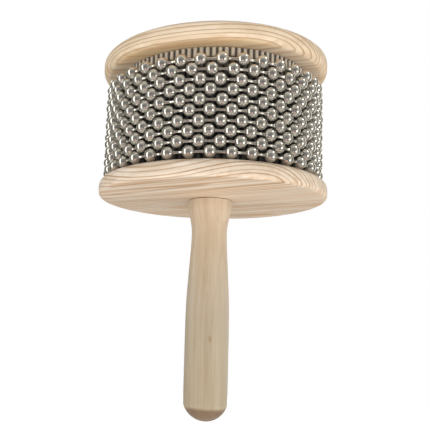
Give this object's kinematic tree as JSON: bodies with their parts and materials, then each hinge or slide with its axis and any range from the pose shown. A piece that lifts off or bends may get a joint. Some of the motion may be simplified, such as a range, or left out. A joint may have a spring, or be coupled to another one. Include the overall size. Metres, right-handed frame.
{
  "type": "cabasa",
  "caption": "Hand percussion instrument: steel ball-chain loops turn loosely round a corrugated steel drum held between two pine discs on a turned wooden handle.",
  "frame": {"origin": "tip of the handle's domed end, on the instrument's axis, which is the bottom centre of its box", "axes": "+Z along the axis from the handle to the head, out of the flat end face; -Y is the side seen from the front, and the drum's sheet laps at +Y"},
  "size_m": [0.115, 0.115, 0.1813],
  "materials": {
    "pine": "satin",
    "handle_wood": "satin",
    "core_wood": "matte",
    "sheet_steel": "satin",
    "chain_steel": "polished",
    "fastener_steel": "satin"
  },
  "bodies": {
    "handle_and_drum": {"handle": "handle_wood", "bottom_disc": "pine", "top_disc": "pine", "drum_core": "core_wood", "corrugated_sleeve": "sheet_steel", "screw_washer": "fastener_steel", "clamp_screw": "fastener_steel", "seam_tack_1": "fastener_steel", "seam_tack_2": "fastener_steel", "seam_tack_3": "fastener_steel"},
    "loop_01": {"bead_loop_01": "chain_steel"},
    "loop_02": {"bead_loop_02": "chain_steel"},
    "loop_03": {"bead_loop_03": "chain_steel"},
    "loop_04": {"bead_loop_04": "chain_steel"},
    "loop_05": {"bead_loop_05": "chain_steel"},
    "loop_06": {"bead_loop_06": "chain_steel"},
    "loop_07": {"bead_loop_07": "chain_steel"},
    "loop_08": {"bead_loop_08": "chain_steel"},
    "loop_09": {"bead_loop_09": "chain_steel"},
    "loop_10": {"bead_loop_10": "chain_steel"}
  },
  "joints": [
    {"name": "loop_01_turn", "type": "hinge", "parent": "handle_and_drum", "child": "loop_01", "pos_m": [0, 0, 0.1219], "axis": [0, 0, 1], "continuous": true},
    {"name": "loop_02_turn", "type": "hinge", "parent": "handle_and_drum", "child": "loop_02", "pos_m": [0, 0, 0.12668], "axis": [0, 0, 1], "continuous": true},
    {"name": "loop_03_turn", "type": "hinge", "parent": "handle_and_drum", "child": "loop_03", "pos_m": [0, 0, 0.13146], "axis": [0, 0, 1], "continuous": true},
    {"name": "loop_04_turn", "type": "hinge", "parent": "handle_and_drum", "child": "loop_04", "pos_m": [0, 0, 0.13624], "axis": [0, 0, 1], "continuous": true},
    {"name": "loop_05_turn", "type": "hinge", "parent": "handle_and_drum", "child": "loop_05", "pos_m": [0, 0, 0.14102], "axis": [0, 0, 1], "continuous": true},
    {"name": "loop_06_turn", "type": "hinge", "parent": "handle_and_drum", "child": "loop_06", "pos_m": [0, 0, 0.1458], "axis": [0, 0, 1], "continuous": true},
    {"name": "loop_07_turn", "type": "hinge", "parent": "handle_and_drum", "child": "loop_07", "pos_m": [0, 0, 0.15058], "axis": [0, 0, 1], "continuous": true},
    {"name": "loop_08_turn", "type": "hinge", "parent": "handle_and_drum", "child": "loop_08", "pos_m": [0, 0, 0.15536], "axis": [0, 0, 1], "continuous": true},
    {"name": "loop_09_turn", "type": "hinge", "parent": "handle_and_drum", "child": "loop_09", "pos_m": [0, 0, 0.16014], "axis": [0, 0, 1], "continuous": true},
    {"name": "loop_10_turn", "type": "hinge", "parent": "handle_and_drum", "child": "loop_10", "pos_m": [0, 0, 0.16492], "axis": [0, 0, 1], "continuous": true}
  ],
  "couplings": [
    {"joint": "loop_02_turn", "follows": "loop_01_turn", "ratio": 1},
    {"joint": "loop_03_turn", "follows": "loop_01_turn", "ratio": 1},
    {"joint": "loop_04_turn", "follows": "loop_01_turn", "ratio": 1},
    {"joint": "loop_05_turn", "follows": "loop_01_turn", "ratio": 1},
    {"joint": "loop_06_turn", "follows": "loop_01_turn", "ratio": 1},
    {"joint": "loop_07_turn", "follows": "loop_01_turn", "ratio": 1},
    {"joint": "loop_08_turn", "follows": "loop_01_turn", "ratio": 1},
    {"joint": "loop_09_turn", "follows": "loop_01_turn", "ratio": 1},
    {"joint": "loop_10_turn", "follows": "loop_01_turn", "ratio": 1}
  ]
}
